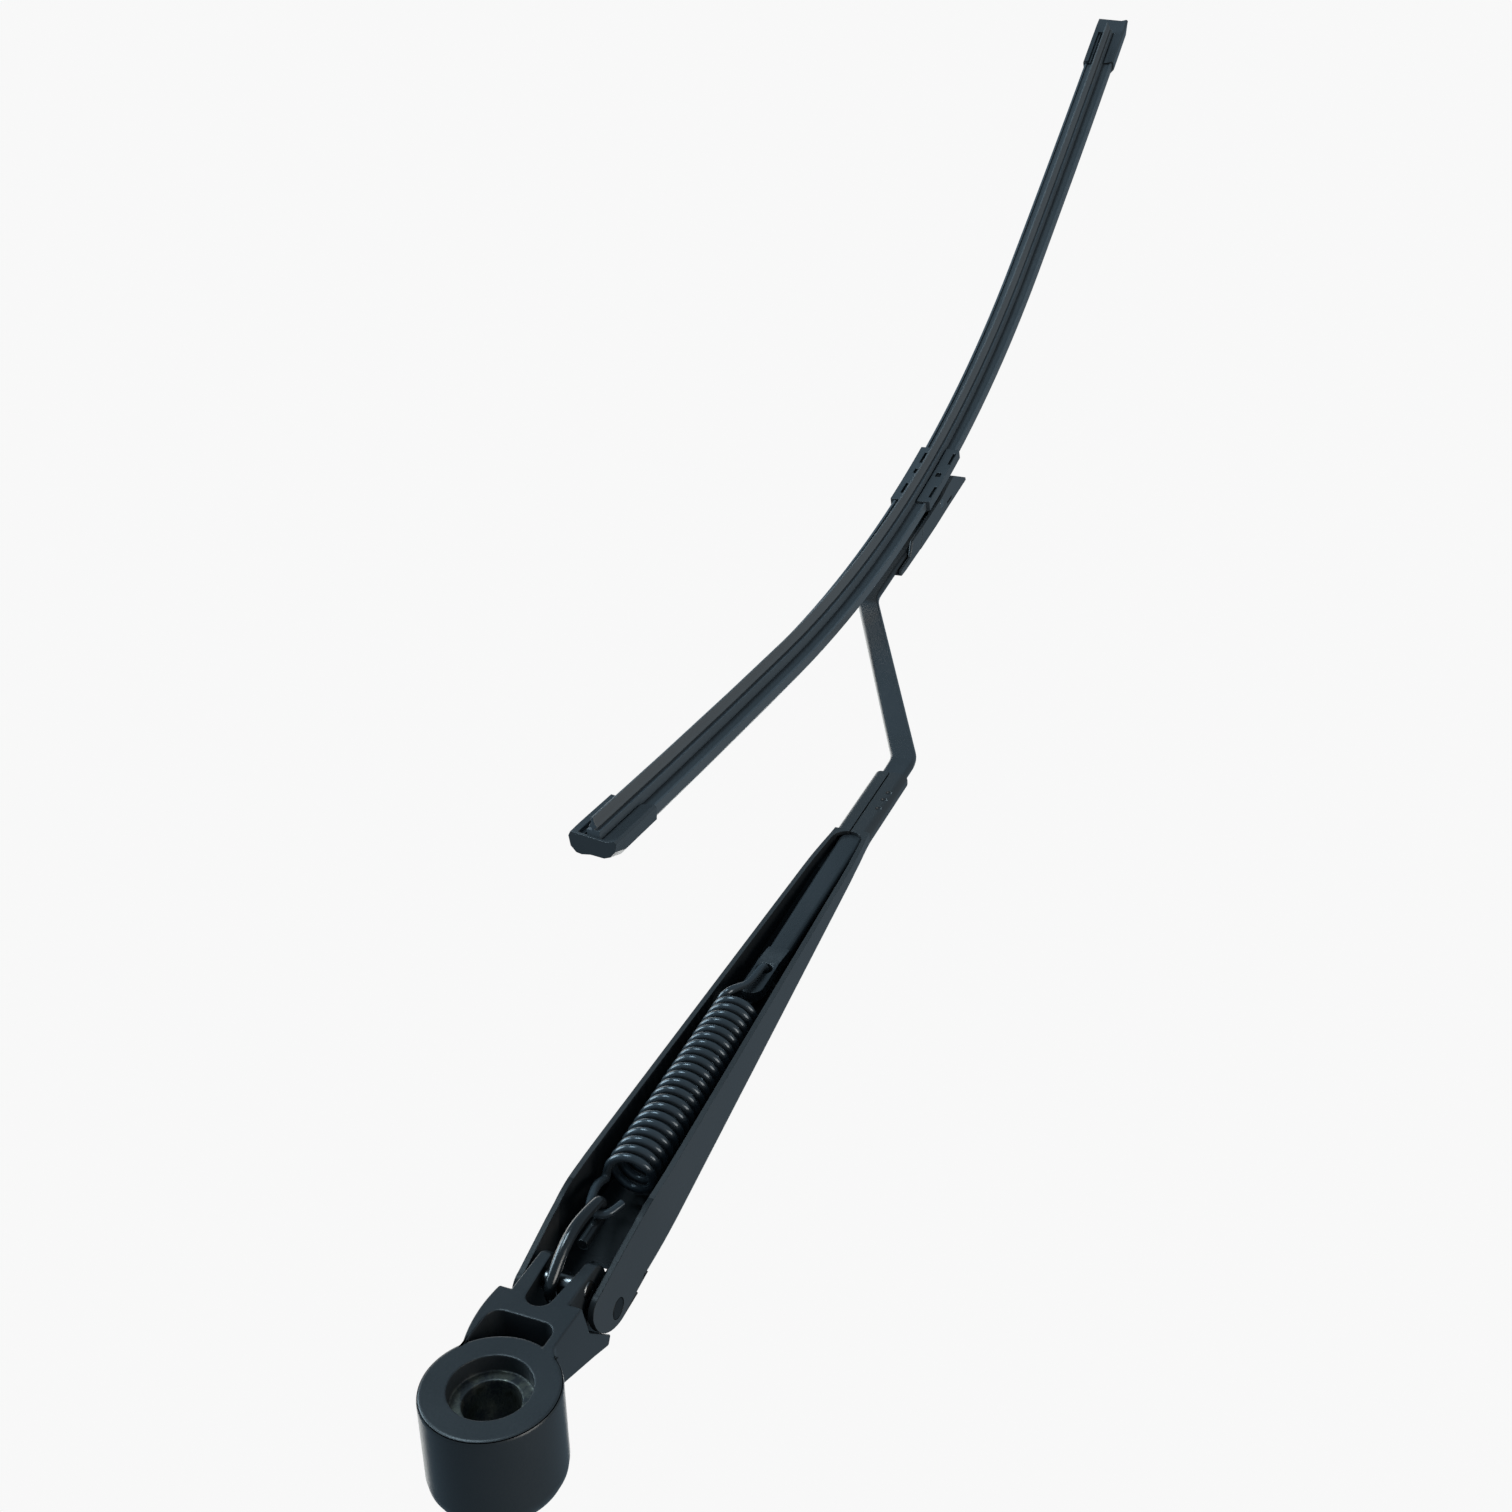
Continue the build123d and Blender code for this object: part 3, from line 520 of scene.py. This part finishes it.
# %% Round the channel
tab_near, tab_far, tab_out, tab_top = 8.6, 13.8, 10.4, -3.2
tab_tuck, tab_lift = 0.88, 0.3
channel = whole_copy("arm_channel")
for corner in channel.data.vertices:
    s, y, n = along_arm(corner.co / mm)
    if tab_near < s < tab_far and abs(y) > tab_out and n < tab_top:
        corner.co = in_arm(s, y * tab_tuck, n + tab_lift) * mm
shown["arm_channel"] = eased(channel, "arm_channel", width=0.25)
print("rounded channel:", len(channel.data.polygons), "faces")

# %% [markdown]
# The bar begins with a tongue that has the spring's eye. Inside the trough beyond it, the photograph
# shows the bar's left edge further in than the solid has it, so it is moved on the copy. The long edges
# are rolled to almost half the bar's thickness. A modifier would round the eye just as much, so these
# edges are chosen by their place and rounded in edit mode.

# %% Round the bar
tongue_end, taper_length, band_end = 113.5, 5.5, 150
band_left, band_cut = 2.5, 2.1
rolled_from, rolled_width, rolled_steps = 119, 1.35, 4


def round_where(piece, width, segments, chosen):
    """Rounds the sharp edges whose two ends are both in the chosen place."""
    bpy.ops.object.mode_set(mode="EDIT")
    bpy.ops.mesh.select_mode(type="EDGE")
    bpy.ops.mesh.select_all(action="DESELECT")
    bpy.ops.mesh.edges_select_sharp(sharpness=sharp)
    bpy.ops.object.mode_set(mode="OBJECT")
    inside = [chosen(corner.co / mm) for corner in piece.data.vertices]
    for edge in piece.data.edges:
        edge.select = edge.select and all(inside[i] for i in edge.vertices)
    bpy.ops.object.mode_set(mode="EDIT")
    bpy.ops.mesh.bevel(offset=width * mm, segments=segments, affect="EDGES", clamp_overlap=False,
                       loop_slide=False)
    bpy.ops.object.mode_set(mode="OBJECT")


bar = whole_copy("arm_bar")
for corner in bar.data.vertices:
    s, y, n = along_arm(corner.co / mm)
    if tongue_end < s < band_end and y > band_left:
        corner.co = in_arm(s, y - band_cut * min((s - tongue_end) / taper_length, 1), n) * mm
round_where(bar, rolled_width, rolled_steps, lambda point: along_arm(point).x > rolled_from)
shown["arm_bar"] = eased(bar, "arm_bar", width=0.3)
print("rounded bar:", len(bar.data.polygons), "faces")

# %% [markdown]
# The rest needs only its own width of edge: most on the moulded caps, least on the rubber.

# %% The other copies
edge_widths = {
    "adaptor_body": 0.4,
    "adaptor_sleeve": 0.4,
    "blade_saddle": 0.3,
    "spoiler_inner": 0.3,
    "spoiler_outer": 0.3,
    "end_cap_inner": 0.5,
    "end_cap_outer": 0.5,
    "pivot_rivet_left": 0.15,
    "pivot_rivet_right": 0.15,
    "anchor_pin": 0.15,
    "wiper_rubber": 0.12,
}
for name, width in edge_widths.items():
    shown[name] = eased(whole_copy(name), name, width)
print("eased faces:", {name: len(piece.data.polygons) for name, piece in shown.items()})

# %% [markdown]
# ## Spring
#
# The spring is round wire, and its solid has flat sides to stay light. A Screw modifier could wind the
# coil, but not bend its ends into hooks, so the wire follows one smooth curve: a spline of order three,
# with the wire's radius as its bevel. Such a spline cuts inside its control points, so on a bend they
# lie a little further out than the wire, by the factor `bulge`, which suits points that are about
# thirty degrees apart.

# %% The coil's path
bulge = 1 / cos(pi / 12)
turn_steps, turns, pitch = 12, 21.125, 3.06
coil_r = 5.4 * bulge
coil_lean = -0.84
coil_start = in_arm(28, 0, 10.2)
coil_dir = Matrix.Rotation(radians(arm_tilt + coil_lean), 3, "Y") @ Vector((1, 0, 0))
coil_up = coil_dir.cross(Vector((0, 1, 0)))


def on_circle(radius, degrees):
    """The two steps from a circle's centre to a point on it."""
    return radius * cos(radians(degrees)), radius * sin(radians(degrees))


def coil_point(turn):
    """A point of the coil after so many turns."""
    left, up = on_circle(coil_r, 360 * turn)
    return coil_start + coil_dir * (pitch * turn) + Vector((0, left, 0)) + coil_up * up


coil = [coil_point(step / turn_steps) for step in range(round(turns * turn_steps))]
coil_end = along_arm(coil_point(turns)).x
print("the coil ends", round(coil_end, 1), "mm along the arm")

# %% [markdown]
# The near hook goes round the link's wire, and the far one through the bar's eye. The bends between
# them and the coil stay close to the solid's path, with a few points each, since no simple formula
# gives them.

# %% The hooks' path
hook_r = 3.3 * bulge
hook_s, hook_y, hook_n = 16.5, 0.45, 12.3
eye_near, eye_bend, eye_far = 105.0, 109.6, 111.6


def hook_point(degrees):
    """A point of the near hook."""
    along, left = on_circle(hook_r, degrees)
    return in_arm(hook_s + along, hook_y + left, hook_n)


hook_tip = [in_arm(18.0, -3.65, hook_n)]
hook = [hook_point(degrees) for degrees in range(250, 100, -30)]
near_bend = [in_arm(20.6, 4.9, 12.0), in_arm(24.6, 5.4, 10.5), in_arm(27.0, 5.5, 9.0)]
far_bend = [
    in_arm(coil_end + 1.0, 3.0, 15.9),
    in_arm(coil_end + 4.0, 1.9, 15.3),
    in_arm(coil_end + 8.0, 0.8, 13.6),
]
far_hook = [
    in_arm(eye_near, 0.2, 13.5),
    in_arm(eye_bend, 0, 13.5),
    in_arm(eye_far, 0, 12.0),
    in_arm(eye_far, 0, 9.0),
    in_arm(eye_bend, 0, 7.6),
    in_arm(eye_near, 0, 7.65),
]
spring_path = hook_tip + hook + near_bend + coil + far_bend + far_hook
print("points on the spring's path:", len(spring_path))

# %% [markdown]
# When the arm folds, the spring swings a little about the bar's eye, and a rigid one would then cut into
# the channel's web. Here the wire is one mesh, with no body of its own, and it is shown in place of the
# spring's solid.

# %% The spring
spring_wire_r = 1.05


def round_wire(name, points, radius):
    """A mesh of round wire along a spline of order three. The points and the radius are in mm."""
    bpy.ops.object.select_all(action="DESELECT")
    bpy.ops.curve.primitive_nurbs_path_add()
    piece = bpy.context.object
    piece.name = name
    line = piece.data
    line.name = name
    line.dimensions = "3D"
    line.fill_mode = "FULL"
    line.resolution_u = 4
    line.bevel_depth = radius * mm
    line.bevel_resolution = 3
    line.use_fill_caps = True
    line.splines.clear()
    spline = line.splines.new("NURBS")
    spline.points.add(len(points) - 1)
    for knot, point in zip(spline.points, points):
        knot.co = (*(point * mm), 1)
    spline.order_u = 3
    spline.use_endpoint_u = True
    bpy.ops.object.convert(target="MESH")
    bpy.ops.object.shade_smooth_by_angle(angle=radians(50))
    return bpy.context.object


spring = round_wire("tension_spring_wire", spring_path, spring_wire_r)
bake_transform(spring)
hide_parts("tension_spring")
shown["tension_spring"] = spring
print("spring faces:", len(spring.data.polygons))

# %% [markdown]
# ## Link
#
# The link is thicker wire, bent in one upright plane. It wraps round the anchor pin in the head's slot,
# runs towards the arm, and turns back under itself to hold the spring's hook. It is made as the spring
# is, because the same helper serves any round wire.

# %% The link
link_y = 4.17
link_wire_r = 1.4
pin_x, pin_z, wrap_r = 35.0, -3.4, 3.6 * bulge
tip_x, tip_z, tip_r = 53.124, 1.176, 2.65 * bulge
tail_slope = radians(-85)


def link_arc(x, z, radius, turn_degrees):
    """Points round a centre in the link's plane."""
    steps = [on_circle(radius, degrees) for degrees in turn_degrees]
    return [Vector((x + along, link_y, z + up)) for along, up in steps]


near_wrap = link_arc(pin_x, pin_z, wrap_r, range(-70, -211, -28))
run = [Vector((36.6, link_y, 2.3)), Vector((42.0, link_y, 4.6)), Vector((47.2, link_y, 4.75))]
far_wrap = link_arc(tip_x, tip_z, tip_r, range(72, -86, -26))
tail_dir = Vector((sin(tail_slope), 0, -cos(tail_slope)))
tail = [far_wrap[-1] + tail_dir * distance for distance in (1.5, 4.0, 7.2)]
link = round_wire("spring_link_wire", near_wrap + run + far_wrap + tail, link_wire_r)
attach(link, "link")
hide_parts("spring_link")
shown["spring_link"] = link
print("link faces:", len(link.data.polygons))

# %% [markdown]
# ## Put the finishes on
#
# Each finish goes on the solids that wear it and on the pieces that stand for them. The slot names the
# finish for whoever uses the part later.

# %% Which piece wears which finish
worn_by = {
    "black_casting": ["head_casting"],
    "dark_pin": ["pivot_rivet_left", "pivot_rivet_right"],
    "bare_steel": ["anchor_pin", "blade_pin"],
    "black_wire": ["spring_link"],
    "spring_wire": ["tension_spring"],
    "black_sheet": ["arm_channel"],
    "black_bar": ["arm_bar"],
    "adaptor_plastic": ["adaptor_body", "adaptor_sleeve"],
    "saddle_plastic": ["blade_saddle"],
    "rail_steel": ["rail_left", "rail_right"],
    "blade_rubber": ["wiper_rubber"],
    "spoiler_skin": ["spoiler_inner", "spoiler_outer"],
    "cap_plastic": ["end_cap_inner", "end_cap_outer"],
}
for slot, names in worn_by.items():
    for name in names:
        pieces = [frame["nodes"][name]]
        if name in shown:
            pieces.append(shown[name])
        for piece in pieces:
            piece.data.materials.clear()
            piece.data.materials.append(paints[slot])
print("finishes:", len(worn_by), "pieces shown in place of solids:", len(shown))

# %% [markdown]
# ## Painted shade inside
#
# The inside of the trough and the fork's slot lie in shade, and that shade is painted on them as a darker
# finish. The rims of the channel's ears get the same painted shade as the trough. A mask in the shader
# would have to know these places too, so it is simpler to choose their faces, by where they are and
# which way they face, and to give them a second finish of painted shade.

# %% The trough and the slot
trough_near, trough_far, trough_half, trough_floor = 5, 181, 9.6, 11
ear_far, ear_out, ear_low = 45, 7, -3
slot_near, slot_far = 20.5, 46
slot_half, slot_half_at, slot_spread = 4.2, 25.6, 0.09


def paint_shade_on_faces(piece, paint, inside):
    """Gives a second finish, of painted shade, to the faces that are inside, and counts them."""
    piece.data.materials.append(paint)
    chosen = [face for face in piece.data.polygons if inside(face)]
    for face in chosen:
        face.material_index = 1
    return len(chosen)


def in_trough(face):
    """Whether a face is on the trough's inner walls, on its floor or on the rim of an ear."""
    s, y, n = along_arm(face.center / mm)
    left = face.normal.y
    up = (arm_turn.transposed() @ face.normal).z
    on_rim = s < ear_far and abs(y) > ear_out and n > ear_low and abs(left) < 0.8
    in_reach = trough_near < s < trough_far and abs(y) < trough_half
    on_wall = left * y < -0.3 * abs(y)
    on_floor = up > 0.3 and n < trough_floor
    return on_rim or in_reach and (on_wall or on_floor)


def in_slot(face):
    """Whether a face is inside the fork's slot. The region tested widens along the arm."""
    x, y, z = face.center / mm
    half = slot_half + (x - slot_half_at) * slot_spread
    return slot_near < x < slot_far and abs(y - arm_origin.y) < half and face.normal.z < 0.9


# Painted shade goes on the trough, the ears' rims and the fork's slot.
print("faces in the trough:", paint_shade_on_faces(shown["arm_channel"], paints["trough_coat"], in_trough))
print("faces in the slot:", paint_shade_on_faces(shown["head_casting"], paints["slot_grease"], in_slot))

# %% [markdown]
# The blade has its own frame too, with its origin at the saddle: along the blade, to its left, and
# towards the glass. The saddle's windows lie in shade inside, so their faces get the trough's painted
# shade.

# %% The saddle's windows
blade_yaw, blade_tilt = -1.15, -12.66
blade_origin = in_arm(439.7, 58.73, 30.18)
blade_turn = arm_turn @ Matrix.Rotation(radians(blade_yaw), 3, "Z")
blade_turn = blade_turn @ Matrix.Rotation(radians(blade_tilt), 3, "Y")
window_near, window_far = -22, 21
window_in, window_out = 3, 8.4
window_low, window_top = -1.2, 0.4


def in_blade(point):
    """A point of the part, in mm, in the blade's own frame."""
    return blade_turn.transposed() @ (point - blade_origin)


def in_window(face):
    """Whether a face is inside one of the saddle's windows."""
    u, v, w = in_blade(face.center / mm)
    in_reach = window_near < u < window_far and window_in < abs(v) < window_out
    return in_reach and window_low < w < window_top


# Painted shade goes on the inside of the saddle's windows.
print("faces in the windows:", paint_shade_on_faces(shown["blade_saddle"], paints["trough_coat"], in_window))

# %% [markdown]
# ## Painted shade on the rubber's base
#
# Below its lip, the rubber's base lies in the spoilers' shade, and that shade is painted on it as a
# cooler, slightly darker grey. The blade is bowed, so height alone doesn't tell lip from base. The lip's
# edge is therefore found first, as the highest corner in each short stretch, and a face belongs to the
# base if its corners lie far enough below that edge.

# %% Find the lip's edge
lip_half = 0.45
stretch_length = 8
rubber = shown["wiper_rubber"]
tops = {}
for corner in rubber.data.vertices:
    u, v, w = in_blade(corner.co / mm)
    stretch = round(u / stretch_length)
    if abs(v) < lip_half:
        tops[stretch] = max((w, u), tops.get(stretch, (w, u)))
lip_edge = sorted((u, w) for w, u in tops.values())
lip_start, lip_end = lip_edge[0][0], lip_edge[-1][0]
print("stretches of the lip:", len(lip_edge), "from", round(lip_start), "to", round(lip_end), "mm")

# %% Paint the shade on the base
base_depth = 4.0


def below_lip(point):
    """How far a point lies below the lip's edge, in mm."""
    u, v, w = in_blade(point)
    after = min(max(bisect(lip_edge, (u, 0)), 1), len(lip_edge) - 1)
    (u0, w0), (u1, w1) = lip_edge[after - 1], lip_edge[after]
    return w0 + (w1 - w0) * (u - u0) / (u1 - u0) - w


def in_base(face):
    """Whether the corners of a face lie deep enough below the lip's edge, on average."""
    depths = [below_lip(rubber.data.vertices[i].co / mm) for i in face.vertices]
    return sum(depths) > base_depth * len(depths)


# Painted shade goes on the rubber's base.
print("faces of the base:", paint_shade_on_faces(rubber, paints["rubber_base"], in_base))
